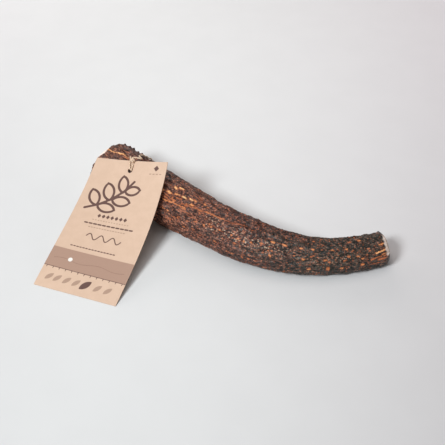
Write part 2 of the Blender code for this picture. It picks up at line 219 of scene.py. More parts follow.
# How the floor is painted darker, as painted shade of the light's fall-off: powers of the places across and
# away, and the share of their product.
FLOOR_PAINTED_FALLOFF = ((1, 0, 0.037), (0, 1, -0.128), (2, 0, 0.148), (0, 2, 0.033), (1, 1, -0.030),
             (2, 1, -0.071), (1, 2, 0.019))

# Tables of curves: steps, ends of the beam's in metres, and a length longer than the beam.
GRID = 601
TABLE_ENDS = (-0.02, 0.27)
PAST_BEAM = 0.30


def smooth(t):
    """Smoothstep from 0 to 1."""
    t = np.clip(t, 0.0, 1.0)
    return t * t * (3.0 - 2.0 * t)


def through(low, middle, high, t):
    """Parabola through three values at t = 0, 0.5 and 1."""
    return low + (-3 * low + 4 * middle - high) * t + (2 * low - 4 * middle + 2 * high) * t * t


def running_sum(values, step):
    """Trapezoid integral of values, starting from zero."""
    return np.append(0.0, np.cumsum((values[1:] + values[:-1]) * step / 2))


def heading(s):
    """Direction of the beam in plan at distance s along it."""
    return START_HEADING + BEND_TURN * smooth((s - BEND_FROM) / (BEND_TO - BEND_FROM))


def axis_plan(s):
    """Plan position of the beam's centreline at distance s: the integral of its heading."""
    table = np.linspace(*TABLE_ENDS, GRID)
    step = table[1] - table[0]
    x = running_sum(np.cos(heading(table)), step)
    y = running_sum(np.sin(heading(table)), step)
    x = x - np.interp(0.0, table, x) + THICK_END[0]
    y = y - np.interp(0.0, table, y) + THICK_END[1]
    return np.interp(s, table, x), np.interp(s, table, y)


def hollow(s):
    """1 over the hollow under the beam, falling to 0 on both sides."""
    return np.exp(-(((s - HOLLOW_AT) / HOLLOW_SPREAD) ** 2))


def half_sizes(s):
    """Half width and half height of the section at s, before the relief."""
    taper = 1 - smooth((s - TAPER_FROM) / (TAPER_TO - TAPER_FROM))
    belly = BELLY_RISE * np.exp(-(((s - BELLY_AT) / BELLY_SPREAD) ** 2))
    radius = THIN_RADIUS + (THICK_RADIUS - THIN_RADIUS) * taper + belly
    flat = FLATNESS * (1 - smooth(s / FLATNESS_TO))
    return radius * (1 + flat), radius * (1 - flat) - HOLLOW_DEPTH / 2 * hollow(s)


def turn_from(angle, around):
    """Angle on from a place given in degrees, from half a turn back to half a turn on."""
    return (angle - math.radians(around) + np.pi) % TURN - np.pi


def patch_of(s, angle, at, around, reach, spread):
    """A soft oval patch: exp of minus the sum of the squares of its distances, each in its reach."""
    along = (s - at * MM) / (reach * MM)
    return np.exp(-(along ** 2) - (turn_from(angle, around) / math.radians(spread)) ** 2)


def coarse_relief(s, angle):
    """The part's own ridges, knobs and lumps: sums of waves round and along, and round bumps."""
    height = np.zeros(np.broadcast(s, angle).shape)
    strength = THIN_RELIEF + (1 - THIN_RELIEF) * (1 - smooth(s / SKIN_TO))
    for count, wander, length, phase, rise in RIDGES:
        bend = wander * np.sin(TURN * s / (length * MM) + phase)
        height += strength * (rise * MM) * np.cos(count * (angle + bend) + phase)
    for count, length, phase, rise in KNOBS:
        rows = np.sin(TURN * s / (length * MM) + 2.0 * np.sin(3 * angle + phase))
        height += rise * MM * rows * np.cos(count * angle + phase + s / (length * MM))
    for *place, rise in LUMPS:
        height += rise * MM * patch_of(s, angle, *place)
    return height


def sway(s, angle, seed, size):
    """Smooth wandering value: a sum of eight waves of mixed slant, the same at 0 and 360 degrees."""
    rng = np.random.default_rng(seed)
    value = 0.0
    for _ in range(8):
        round_it = rng.integers(0, 7)
        along = rng.uniform(0.5, 2.0) * rng.choice([-1, 1])
        phase = rng.uniform(0, TURN)
        value = value + np.sin(round_it * angle + TURN * along * s / size + phase)
    return value / 4.0


def grains(s, angle, length, count, seed, plump):
    """Scattered oval grains, longer along the beam than across it.

    The skin is a grid of cells, count round it and length long, each row of cells shifted by its
    own amount. Each cell holds one oval at a random place, of random size and slant. The height
    is 1 - d*d inside the highest oval, d being the distance from its middle in its own sizes.
    Returns that height and the random share that belongs to the oval on top.
    """
    rng = np.random.default_rng(seed)
    columns = int(PAST_BEAM / length) + 6
    luck = rng.random((columns, count, 7))
    shift = rng.random(count)
    wide, _ = half_sizes(s)
    pitch = TURN * wide / count
    w = angle / TURN * count
    row = np.floor(w)
    best = np.zeros(np.broadcast(s, angle).shape)
    share = np.zeros_like(best)
    for beside in (-1, 0, 1):
        lane = row + beside
        lane_index = lane.astype(int) % count
        u = s / length + shift[lane_index] + 2
        cell = np.floor(u)
        for ahead in (-1, 0, 1):
            place = cell + ahead
            own = luck[np.clip(place.astype(int), 0, columns - 1), lane_index]
            du = (u - place - 0.5 - 0.5 * (own[..., 0] - 0.5)) * length
            dw = (w - lane - 0.5 - 0.7 * (own[..., 1] - 0.5)) * pitch
            dw = dw + du * 0.35 * (own[..., 2] - 0.5)
            reach = length * (0.32 + 0.36 * own[..., 3])
            breadth = pitch * (plump + 0.28 * own[..., 4] - 0.14)
            d2 = (du / reach) ** 2 + (dw / breadth) ** 2
            rise = np.clip(1 - d2, 0, 1) * (0.55 + 0.45 * own[..., 5])
            share = np.where(rise > best, own[..., 6], share)
            best = np.maximum(best, rise)
    return best, share


def lattice(s, angle, length, count, seed):
    """Smooth random value from 0 to 1: random numbers on a grid round and along, blended between."""
    rng = np.random.default_rng(seed)
    table = rng.random((int(PAST_BEAM / length) + 8, count))
    u = s / length + 3
    w = angle / TURN * count
    i, j = np.floor(u).astype(int), np.floor(w).astype(int)
    f, g = smooth(u - i), smooth(w - j)
    i = np.clip(i, 0, len(table) - 2)
    near, far = (table[k, j % count] * (1 - g) + table[k, (j + 1) % count] * g for k in (i, i + 1))
    return near * (1 - f) + far * f


def braid(s, angle, length, count, seed):
    """Ridges that run along the beam, part and join: 1 where a stretched random value is one half."""
    coarse = lattice(s, angle, length, count, seed)
    fine = lattice(s, angle, length / 2, count * 2, seed + 50)
    return smooth(1 - np.abs(2 * (0.68 * coarse + 0.32 * fine) - 1) / 0.42)


def pearl_marks(s, angle):
    """The large pearls, each an oval, and the bright threads, each a bent line: height and brightness.

    The height is its own times 1 - d*d, d being the distance from its middle in its half sizes.
    """
    rise = np.zeros(np.broadcast(s, angle).shape)
    glow = np.zeros_like(rise)
    wide, _ = half_sizes(s)
    s, angle = s + 0.28 * MM * sway(s, angle, 41, 4 * MM), angle + 0.018 * sway(s, angle, 42, 3 * MM)
    for at, around, long, broad, slant, lift, bright in PEARLS:
        ahead = s - at * MM
        aside = wide * turn_from(angle, around) - slant * ahead
        d2 = (ahead / (long * MM / 2)) ** 2 + (aside / (wide * math.radians(broad) / 2)) ** 2
        shape = np.clip(1 - d2, 0, 1)
        rise = np.maximum(rise, lift * shape)
        dull = 1.0 if at < DULL_FROM else DULL
        glow = np.maximum(glow, dull * bright * smooth(shape * 1.4))
    for thread, broad, lift, bright in THREADS:
        for (s0, a0), (s1, a1) in zip(thread[:-1], thread[1:]):
            ahead, aside = s - s0 * MM, wide * turn_from(angle, a0)
            run, climb = (s1 - s0) * MM, wide * math.radians(a1 - a0)
            t = np.clip((ahead * run + aside * climb) / (run * run + climb ** 2), 0, 1)
            gap = np.hypot(ahead - t * run, aside - t * climb)
            shape = np.clip(1 - (gap / (broad * MM / 2)) ** 2, 0, 1)
            rise = np.maximum(rise, lift * shape)
            glow = np.maximum(glow, bright * smooth(shape * 1.8))
    return rise, glow


def furrows(s, angle, seed):
    """Fine ridges along the beam, parted by sharp furrows: 1 on a ridge, 0 in a furrow.

    Two sets of ridges, 58 and 66 round the beam, each bent by slow and quick waves, are blended by
    a slow random share. Where one gives way to the other, ridges part and join.
    """
    bend = 0.035 * sway(s, angle, seed, 30 * MM) + 0.012 * sway(s, angle, seed + 1, 8 * MM)
    first = np.abs(np.cos(29 * (angle + bend) + 0.6))
    second = np.abs(np.cos(33 * (angle - 0.7 * bend) + 2.1))
    share = smooth((lattice(s, angle, 11 * MM, 14, seed + 2) - 0.42) / 0.16)
    return (first * (1 - share) + second * share) ** 0.8


def fine_relief(s, angle):
    """Grain of the skin: long beaded ridges at the thick end, round pearls at the thin end.

    Returns its height in metres, how far each point stands out of the furrows, which sets the painted
    shade in the furrows, how bright its grain is, and how crumbly the skin is there, which sets the
    painted glints and painted shade in pits.
    """
    s2 = s + 1.0 * MM * sway(s, angle, 11, 40 * MM)
    angle2 = angle + 0.05 * sway(s, angle, 12, 60 * MM) + 0.015 * sway(s, angle, 13, 18 * MM)
    thick = 1 - smooth((s - 90 * MM) / (70 * MM))
    swell = braid(s2, angle2, 15 * MM, 30, 5)
    ridge = furrows(s, angle2, 31)
    bead_rise, _ = grains(s2, angle2, 5.4 * MM, 54, 1, plump=0.52)
    pearl_rise, pearl_luck = grains(s2, angle2, 3.2 * MM, 44, 2, plump=0.48)
    small_rise, small_luck = grains(s2, angle2, 1.8 * MM, 72, 3, plump=0.48)
    pearls = np.maximum(0.7 * thick * bead_rise ** 0.7, (0.9 - 0.5 * thick) * pearl_rise ** 0.7)
    height = 0.22 * swell + (0.22 + 0.44 * thick) * ridge + 0.36 * pearls + 0.20 * small_rise
    mark, mark_glow = pearl_marks(s, angle)
    height = np.maximum(height, 0.6 * height + mark)
    # This value is 1 on crests and 0 in furrows; the skin is painted darker in the furrows from it, as
    # painted shade.
    crest = smooth((height - 0.12) / 0.86) * (1 - 0.7 * patch_of(s, angle, *RAGGED))
    rich = 0.25 + 0.75 * patch_of(s, angle, *RICH[0])
    rich = np.maximum(rich, 0.8 * patch_of(s, angle, *RICH[1]))
    lit = lattice(s, angle2, 7 * MM, 40, 8)
    line_glow = thick * smooth((lit - 0.92 + 0.38 * rich) / 0.16) * smooth((ridge - 0.62) / 0.3)
    pearl_glow = smooth((pearl_luck - 1 + 0.22 * rich) / 0.12) * smooth((pearl_rise - 0.35) / 0.4)
    small_glow = (1 - 0.6 * thick) * smooth((small_luck - 0.66) / 0.2) * smooth((small_rise - 0.3) / 0.4)
    glow = np.maximum(np.maximum(0.54 * line_glow, 0.60 * pearl_glow), 0.5 * small_glow)
    glow = np.maximum(glow * (1 - 0.6 * mark_glow), mark_glow)
    crumbs = np.max([strength * patch_of(s, angle, *place) for strength, *place in CRUMB_GLINT_AND_SHADE], axis=0)
    return (height - 0.62) * MM, crest, glow, crumbs


def beam_point(s, angle, lift):
    """Point above the coarse skin, at distance s and angle round (0 is inside the bend, 90 is up)."""
    x, y = axis_plan(s)
    turn = heading(s)
    wide, high = half_sizes(s)
    out = coarse_relief(s, angle) + lift
    tilt = np.hypot(np.cos(angle) / wide, np.sin(angle) / high)
    across = wide * np.cos(angle) + out * np.cos(angle) / wide / tilt
    up = high * np.sin(angle) + out * np.sin(angle) / high / tilt
    z = high + HOLLOW_DEPTH * hollow(s) - SINK + up
    return np.stack([x - across * np.sin(turn), y + across * np.cos(turn), z], axis=-1)


def direction(turn, climb):
    """Unit vector at an angle round from +X towards +Y and an angle up."""
    level = math.cos(climb)
    return np.array([level * math.cos(turn), level * math.sin(turn), math.sin(climb)])


def cut_frame(s, cut, outward):
    """Centre, beam direction and outward normal of a saw cut."""
    x, y = axis_plan(s)
    high = half_sizes(s)[1]
    centre = np.array([x, y, high + HOLLOW_DEPTH * hollow(s) - SINK])
    return centre, direction(heading(s), 0), direction(heading(s) + cut[0], cut[1]) * outward


def slide_to_cut(points, cut):
    """Slide points along the beam until they lie in the plane of a cut."""
    centre, along, normal = cut
    return points - ((points - centre) @ normal / (along @ normal))[..., None] * along


def cap_rows(rim, cut, dome):
    """Rings from a rim in to the middle of a sawn end: a rounded dome down to its flat middle."""
    centre, _, normal = cut
    step = np.clip((RINGS - FLAT_SHARE) / (1 - FLAT_SHARE), 0, 1)
    rise = dome * (1 - step * step)
    return centre + (rim - centre) * RINGS[..., None] + normal * rise[..., None], centre + normal * dome


def grid_faces(rows, columns, closed):
    """Quads of a grid of points laid row by row. A closed grid joins its last column to its first."""
    low = np.arange(rows - 1)[:, None] * columns
    high = low + columns
    j = np.arange(columns if closed else columns - 1)
    k = (j + 1) % columns
    return np.stack([low + j, low + k, high + k, high + j], axis=-1).reshape(-1, 4)


def end_fans(rows, sides):
    """Triangles from the first and last rings of a closed grid to two middles that follow its points."""
    ring = np.arange(sides)
    after = (ring + 1) % sides
    last = (rows - 1) * sides
    return np.concatenate([
        np.stack([ring, after, np.full(sides, rows * sides)], axis=-1),
        np.stack([last + after, last + ring, np.full(sides, rows * sides + 1)], axis=-1),
    ])


def add_object(name, data):
    """A new object in the scene."""
    made = bpy.data.objects.new(name, data)
    bpy.context.scene.collection.objects.link(made)
    return made


def build_mesh(name, points, quads, triangles=np.zeros((0, 3), int)):
    """Mesh from whole arrays of points, quads and triangles, smooth shaded."""
    data = bpy.data.meshes.new(name)
    data.vertices.add(len(points))
    data.vertices.foreach_set("co", np.float32(points).ravel())
    loops = np.append(quads, triangles).astype(np.int32)
    data.loops.add(len(loops))
    data.loops.foreach_set("vertex_index", loops)
    sizes = np.repeat([4, 3], [len(quads), len(triangles)])
    data.polygons.add(len(sizes))
    data.polygons.foreach_set("loop_start", (np.cumsum(sizes) - sizes).astype(np.int32))
    data.update(calc_edges=True)
    data.validate()
    data.shade_smooth()
    return add_object(name, data)


def set_value(obj, name, values):
    """Store one number, or one vector, for each point of a mesh."""
    kind, field = ("FLOAT", "value") if values.ndim == 1 else ("FLOAT_VECTOR", "vector")
    layer = obj.data.attributes.new(name, kind, "POINT")
    layer.data.foreach_set(field, np.float32(values).ravel())


class Nodes:
    """Short ways to make the nodes of one material."""

    def __init__(self, name):
        self.material = bpy.data.materials.new(name)
        self.material.use_nodes = True
        self.tree = self.material.node_tree
        self.shader = self.tree.nodes["Principled BSDF"]

    def add(self, kind, inputs=(), out=0, **settings):
        """One node with its settings and inputs, and one of its outputs returned."""
        node = self.tree.nodes.new(kind)
        for key, value in settings.items():
            setattr(node, key, value)
        self.feed(node, dict(inputs))
        return node.outputs[out]

    def feed(self, node, inputs):
        """Give each input of a node its plain value, or link it to another node's output."""
        for key, value in inputs.items():
            if isinstance(value, bpy.types.NodeSocket):
                self.tree.links.new(value, node.inputs[key])
            else:
                node.inputs[key].default_value = value

    def value(self, name, out="Fac"):
        """A number or vector stored on the mesh."""
        return self.add("ShaderNodeAttribute", attribute_name=name, out=out)

    def times(self, a, b):
        """The product of two numbers."""
        return self.add("ShaderNodeMath", {0: a, 1: b}, operation="MULTIPLY")

    def total(self, *parts):
        """The sum of some numbers, each times its own share."""
        level = 0.0
        for number, share in parts:
            level = self.add("ShaderNodeMath", {0: number, 1: share, 2: level}, operation="MULTIPLY_ADD")
        return level

    def ramp(self, value, *stops):
        """A colour from a row of stops, each a place from 0 to 1 and its screen colour."""
        out = self.add("ShaderNodeValToRGB", {"Fac": value}, out="Color")
        bar = out.node.color_ramp
        while len(bar.elements) < len(stops):
            bar.elements.new(0.5)
        for element, (place, *shade) in zip(bar.elements, stops):
            element.position = place
            element.color = colour(*shade)
        return out

    def mix(self, share, a, b, blend="MIX"):
        """Two colours mixed or multiplied by a share."""
        return self.add("ShaderNodeMix", {0: share, 6: a, 7: b}, out=2, data_type="RGBA", blend_type=blend)

    def spread(self, value, low, high, to_low=0.0, to_high=1.0):
        """A value's range from low to high, eased onto another range."""
        return self.add("ShaderNodeMapRange", {0: value, 1: low, 2: high, 3: to_low, 4: to_high},
                        interpolation_type="SMOOTHSTEP")

    def noise(self, place, scale, detail, rough, stretch=(1, 1, 1)):
        """Cloudy noise at a scale per metre, squeezed or stretched along each axis."""
        place = self.add("ShaderNodeVectorMath", {0: place, 1: stretch}, operation="MULTIPLY")
        return self.add("ShaderNodeTexNoise", {"Vector": place, "Scale": scale, "Detail": detail,
                                               "Roughness": rough})

    def cells(self, place, scale, stretch):
        """Small cells: the distance to the nearest cell's middle, and that cell's random share."""
        place = self.add("ShaderNodeVectorMath", {0: place, 1: stretch}, operation="MULTIPLY")
        gap = self.add("ShaderNodeTexVoronoi", {"Vector": place, "Scale": scale}, out="Distance",
                       feature="F1")
        luck = self.add("ShaderNodeSeparateColor", {"Color": gap.node.outputs["Color"]}, out="Red")
        return gap, luck

    def bump(self, height, distance, strength, under=None):
        """Shading bumps of a height in metres, on top of others."""
        inputs = {"Height": height, "Distance": distance, "Strength": strength}
        return self.add("ShaderNodeBump", inputs if under is None else {**inputs, "Normal": under})

    def finish(self, paint, roughness, reflection, **others):
        """Set the shader's inputs and return the material."""
        self.feed(self.shader, {"Base Color": paint, "Roughness": roughness,
                                "Specular IOR Level": reflection, **others})
        return self.material


def colour(red, green, blue):
    """Linear colour from 0 to 255 screen values."""
    screen = np.array([red, green, blue]) / 255
    linear = np.where(screen <= 0.04045, screen / 12.92, ((screen + 0.055) / 1.055) ** 2.4)
    return (*linear.tolist(), 1.0)


def antler_finish():
    """Dark ridged skin with tan crests and painted shade in its furrows and fleck edges, black-green towards
    the thin end, with painted glints and painted shade in pits on crumbly patches, and cream sanded bone.
    """
    m = Nodes("antler_finish")
    place = m.value("straight", out="Vector")
    names = "crest bright crumbs black bone core".split()
    crest, bright, crumbs, black, bone, core = (m.value(name) for name in names)
    fibre = m.noise(place, 1100, 3, 0.75, (0.25, 1, 1))
    streak = m.noise(place, 700, 4, 0.7, (0.3, 1, 1))
    patch = m.noise(place, 110, 4, 0.6, (0.4, 1, 1))
    gap, luck = m.cells(place, 640, (0.55, 1, 1))
    fleck_gap, fleck = m.cells(place, 960, (0.8, 1, 1))
    crumb_gap, crumb_luck = m.cells(place, 850, (0.9, 1, 1))
    # Painted shade: the level drops in the furrows, by the crest share, and at the edges of the small
    # flecks, whose middles the bump raises; it drops at the edges of the larger cells too.
    level = m.total((m.spread(fibre, 0.36, 0.64), 0.26), (crest, 0.29), (luck, 0.12), (fleck, 0.48),
                    (m.spread(gap, 0.4, 0.75), -0.16), (m.spread(fleck_gap, 0.35, 0.65), -0.2))
    brown = m.ramp(level, (0.12, 32, 19, 16), (0.34, 66, 42, 36), (0.56, 103, 68, 57),
                   (0.76, 146, 98, 78), (0.95, 200, 150, 122))
    dark = m.ramp(level, (0.12, 25, 25, 23), (0.34, 54, 50, 44), (0.56, 84, 73, 64),
                  (0.76, 126, 102, 87), (0.95, 178, 142, 117))
    mossy = m.mix(m.times(m.spread(patch, 0.50, 0.66), 0.35), dark, colour(54, 50, 42))
    ground = m.mix(black, brown, mossy)
    red = m.ramp(level, (0.2, 42, 15, 10), (0.5, 120, 58, 41), (0.8, 186, 104, 72))
    ruddy = m.times(m.spread(fleck, 0.45, 0.7), m.spread(fleck_gap, 0.6, 0.3))
    ground = m.mix(m.times(ruddy, m.spread(black, 0.1, 1.0, 0.65, 0.42)), ground, red)
    rose = m.ramp(level, (0.12, 36, 18, 15), (0.4, 82, 50, 41), (0.7, 128, 85, 69),
                  (0.95, 172, 120, 95))
    ground = m.mix(m.times(m.spread(black, -0.1, -0.9), 0.75), ground, rose)
    # Painted glints: pale specks on the crumbly patches stand in for small highlights. Painted shade:
    # near-black pits between them.
    pale = m.mix(m.spread(streak, 0.35, 0.65), colour(176, 122, 94), colour(240, 208, 178))
    painted_glint = m.times(m.spread(crumb_luck, 0.55, 0.72), m.spread(crumb_gap, 0.5, 0.3))
    painted_pit_shade = m.spread(crumb_gap, 0.45, 0.7)
    ground = m.mix(m.times(m.times(painted_pit_shade, crumbs), 0.6), ground, colour(26, 16, 14))
    ground = m.mix(m.times(m.times(painted_glint, crumbs), 0.85), ground, pale)
    tan = m.ramp(bright, (0.10, 84, 36, 24), (0.35, 146, 80, 52), (0.60, 190, 114, 70),
                 (0.85, 228, 156, 98), (1.0, 252, 212, 156))
    share = m.times(m.spread(bright, 0.02, 0.4), m.spread(fibre, 0.25, 0.5, 0.75, 1.0))
    skin = m.mix(share, ground, tan)
    pore = m.noise(place, 1500, 3, 0.7)
    cloud = m.spread(m.noise(place, 300, 4, 0.6), 0.35, 0.7)
    cream = m.mix(cloud, colour(255, 238, 226), colour(240, 218, 202))
    sponge = m.mix(m.spread(pore, 0.42, 0.55), colour(120, 96, 78), colour(205, 184, 160))
    cream = m.mix(core, cream, sponge)
    paint = m.mix(bone, skin, cream)
    rough = m.total((m.spread(streak, 0.3, 0.7, 0.3, 0.46), 1), (bone, 0.3))
    normal = m.bump(fibre, 0.5 * MM, 0.8)
    normal = m.bump(m.spread(fleck_gap, 0.6, 0.1), 0.35 * MM, 0.8, normal)
    return m.finish(paint, rough, 0.34, Normal=normal)


def make_antler():
    """The beam: a grid of the skin along and round it, closed by a domed, sanded grid at each cut."""
    angle = np.linspace(0, TURN, SKIN_SIDES, endpoint=False)
    thick = cut_frame(SKIN_FROM, THICK_CUT, -1)
    thin = cut_frame(SKIN_TO, THIN_CUT, 1)
    wide, high = half_sizes(SKIN_TO)
    turn = heading(SKIN_TO)
    side = wide * np.cos(angle)
    rim = np.stack([-side * math.sin(turn), side * math.cos(turn), high * np.sin(angle)], axis=-1)
    reach = -(rim @ thin[2]) / (thin[1] @ thin[2])
    share = np.linspace(0, 1, SKIN_ROWS)[:, None]
    s = SKIN_FROM + (SKIN_TO + reach - SKIN_FROM) * share
    round_it = angle[None, :] + 0 * s
    height, crest, glow, crumbs = fine_relief(s, round_it)
    skin = beam_point(s, round_it, height)
    skin[0] = slide_to_cut(skin[0], thick)
    skin[-1] = slide_to_cut(skin[-1], thin)
    first, thick_middle = cap_rows(skin[0], thick, THICK_CUT[2])
    last, thin_middle = cap_rows(skin[-1], thin, THIN_CUT[2])
    rows = np.concatenate([first[::-1], skin, last])
    rows[..., 2] = np.maximum(rows[..., 2], 0.0)
    points = np.concatenate([rows.reshape(-1, 3), [thick_middle, thin_middle]])
    quads = grid_faces(len(rows), SKIN_SIDES, True)[:, ::-1]
    beam = build_mesh("antler_beam", points, quads, end_fans(len(rows), SKIN_SIDES))

    def keep(name, body, near, far, middle):
        """Store one number for each point: near cap, skin, far cap and the two middles."""
        near, far = (np.broadcast_to(values, first.shape[:2]) for values in (near, far))
        values = np.concatenate([near[::-1], np.broadcast_to(body, skin.shape[:2]), far])
        set_value(beam, name, np.append(values, [middle, middle]))

    edge = np.minimum(s - SKIN_FROM, SKIN_TO + reach - s)
    wear = (0.2 + 1.3 * patch_of(s, round_it, *WORN_RIM)) * MM
    worn = 1 - smooth((edge - wear + 0.25 * MM * sway(s, round_it, 21, 6 * MM)) / (0.3 * MM))
    keep("crest", crest, crest[:1], crest[-1:], 1)
    keep("bright", glow, 0, glow[-1:], 0)
    keep("crumbs", crumbs, 0, 0, 0)
    # The skin goes from brown at 0 to black at 1, and to rosy brown below 0.
    later = 118 * MM + 26 * MM * patch_of(s, round_it, *BLACK_TOP)
    black = smooth((s - later) / (70 * MM) + 0.25 * sway(s, round_it, 22, 60 * MM))
    rosy = np.maximum(1 - smooth((s - 30 * MM) / (40 * MM)), 0.7 * patch_of(s, round_it, *ROSY_LOW))
    keep("black", black - rosy, 0, 1, 0.5)
    # Skin left on the saw cuts: all round the thin one, and round the thick one but where it is worn.
    degrees = np.degrees(angle)
    reach_in = SKIN_OVER_RIM
    for middle, spread, fade, further in SKIN_OVER_CUT:
        reach_in = reach_in - further * smooth((spread - np.abs(degrees - middle)) / fade)
    thin_skin = smooth((RINGS - reach_in + 0.03 * np.sin(17 * angle)) / 0.08)
    kept = smooth((np.abs(degrees - WORN_AROUND) - 12) / 10)
    thick_skin = smooth((RINGS - 0.80) / 0.1) * kept
    worn = worn * np.where(s < WORN_TO, 1 - thick_skin[0], 0)
    keep("bone", worn, 1 - thick_skin, 1 - thin_skin, 1)
    inner = 1 - smooth((RINGS - 0.52) / 0.16)
    keep("core", 0, inner, inner, 1)
    radius = half_sizes(s)[0]
    straight = np.stack([s, radius * np.cos(round_it), radius * np.sin(round_it)], axis=-1)
    far = straight[-1] * RINGS[..., None]
    far[..., 0] = SKIN_TO
    straight = np.concatenate([straight[0] * RINGS[::-1, :, None], straight, far]).reshape(-1, 3)
    set_value(beam, "straight", np.concatenate([straight, [[0, 0, 0], [SKIN_TO, 0, 0]]]))
    beam.data.materials.append(antler_finish())
    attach(beam, "root")
    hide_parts("antler")


def look_up(places, table, rows):
    """Rows of three numbers at places between those of a table."""
    return np.stack([np.interp(places, table, rows[:, k]) for k in range(3)], axis=-1)


def tag_frames(height):
    """Middle of the card, its width direction and its front normal at each distance up it."""
    table = np.linspace(0, TAG_HEIGHT, GRID)
    share = table / TAG_HEIGHT
    yaw, pitch, roll = (np.radians(through(*bend, share)) for bend in (TAG_YAW, TAG_PITCH, TAG_ROLL))
    up = np.stack([np.sin(yaw) * np.cos(pitch), np.cos(yaw) * np.cos(pitch), np.sin(pitch)], axis=-1)
    level = np.stack([np.cos(yaw), -np.sin(yaw), 0 * yaw], axis=-1)
    upright = np.cross(level, up)
    across = np.cos(roll)[:, None] * level + np.sin(roll)[:, None] * upright
    foot = (TAG_FOOT[0], TAG_FOOT[1], TAG_THICKNESS / 2 * math.cos(pitch[0]))
    middle = np.stack([running_sum(up[:, k], table[1]) + foot[k] for k in range(3)], axis=-1)
    front = np.cross(across, up)
    pick = np.clip(height, 0, TAG_HEIGHT)
    middle, across, front, up = (look_up(pick, table, rows) for rows in (middle, across, front, up))
    return middle + up * (height - pick)[..., None], across, front


def tag_point(across, height, out):
    """Point at a distance across the card from its middle, up it, and out from its middle layer."""
    middle, side, front = tag_frames(height)
    share = across / (TAG_WIDTH / 2)
    curl = TAG_CURL * (share * share - 1 / 3) * height / TAG_HEIGHT
    return middle + side * across[..., None] + front * (curl + out)[..., None]


def line_gap(u, v, a, b):
    """Distance from points to a straight stroke's middle line."""
    run = np.subtract(b, a)
    t = np.clip(((u - a[0]) * run[0] + (v - a[1]) * run[1]) / (run @ run), 0, 1)
    return np.hypot(u - a[0] - t * run[0], v - a[1] - t * run[1])


def leaf_gap(u, v, foot, tip, belly):
    """Signed distance to a pointed leaf's outline: two equal arcs that meet at its foot and tip."""
    run = np.subtract(tip, foot)
    half = np.linalg.norm(run) / 2
    along = run / (2 * half)
    x = (u - foot[0]) * along[0] + (v - foot[1]) * along[1] - half
    y = np.abs(-(u - foot[0]) * along[1] + (v - foot[1]) * along[0])
    radius = (half * half + belly * belly) / (2 * belly)
    inside = np.hypot(x, y + radius - belly) - radius
    past = np.hypot(np.abs(x) - half, y)
    return np.where(np.abs(x) > half, past, inside)


def wave_gap(u, v, start, end, middle, rise, length):
    """Distance from points to a line of even waves between two places."""
    t = np.linspace(start, end, 160)
    y = middle + rise * np.sin(TURN * (t - start) / length)
    bends = np.stack([t, y], axis=-1)
    return np.min([line_gap(u, v, a, b) for a, b in zip(bends[:-1], bends[1:])], axis=0)


def dash_gap(u, v, count, start, step, length, height, half):
    """Signed distance to a level row of equal dashes."""
    places = start + step * np.arange(count)
    return np.min([line_gap(u, v, (x, height), (x + length, height)) for x in places], axis=0) - half


def card_print(u, v):
    """Where the ink lies on the card, in millimetres across and up it.

    Each layer is a signed distance, less than 0 inside its marks. The dark ink is a sprig of leaves
    drawn in outline, rows of bars and lozenges, a waved line and a ruled edge.
    """
    dark = [line_gap(u, v, a, b) - 1.0 for a, b in zip(STEM[:-1], STEM[1:])]
    dark += [np.abs(leaf_gap(u, v, *leaf)) - 0.95 for leaf in LEAVES]
    dark += [(np.abs(u + 10.5 - 3.6 * k) + 0.8 * np.abs(v - 69.6) - 1.5) * 0.75 for k in range(7)]
    dark += [dash_gap(u, v, *row) for row in DARK_DASHES]
    dark += [wave_gap(u, v, -13, 15, 50.5, 2.4, 9.3) - 0.42]
    dark += [line_gap(u, v, (x, BAND_LOW - 1.6), (x, BAND_LOW)) - 0.28 for x in range(-30, 31, 5)]
    dark += [np.abs(v - BAND_LOW) - 0.28]
    dark += [leaf_gap(u, v, (1, 5.5), (8, 13.5), 2.5)]
    dark += [(np.abs(u - 23.2) + np.abs(v - 114.6) - 2.4) * 0.71]
    pale = [dash_gap(u, v, *row) for row in PALE_DASHES]
    pale += [leaf_gap(u, v, (x, 6.5), (x + 5.2, 12.5), 1.7) for x in PALE_LEAVES]
    pale += [wave_gap(u, v, -28, 28, 26, 1.0, 28) - 0.25]
    return {"dark": np.min(dark, axis=0), "pale": np.min(pale, axis=0),
            "band": np.maximum(v - BAND_HIGH, BAND_LOW - v), "spot": np.hypot(u + 15.5, v - 27) - 1.7}


def card_finish():
    """Uncoated peach card: fibres, a soft mottle, printed inks and a tinted band."""
    m = Nodes("card_finish")
    place = m.value("flat", out="Vector")
    mottle = m.noise(place, 120, 4, 0.6)
    fibre = m.noise(place, 2600, 3, 0.7, (1, 0.35, 1))
    stock = m.mix(m.spread(mottle, 0.3, 0.7), colour(200, 171, 149), colour(205, 176, 154))
    stock = m.mix(m.times(m.spread(fibre, 0.5, 0.75), 0.12), stock, colour(176, 144, 120))
    paint = stock
    for name, share, ink in INKS:
        marks = m.spread(m.value(name), 0.12, -0.12)
        paint = m.mix(m.times(marks, share), paint, colour(*ink))
    paint = m.mix(m.value("front"), stock, paint)
    normal = m.bump(fibre, 0.05 * MM, 0.6)
    return m.finish(paint, 0.62, 0.35, Normal=normal)


def rim_of(grid):
    """The points round the outline of a grid of indices, in order."""
    return np.concatenate([grid[0, :-1], grid[:-1, -1], grid[-1, :0:-1], grid[:0:-1, 0]])


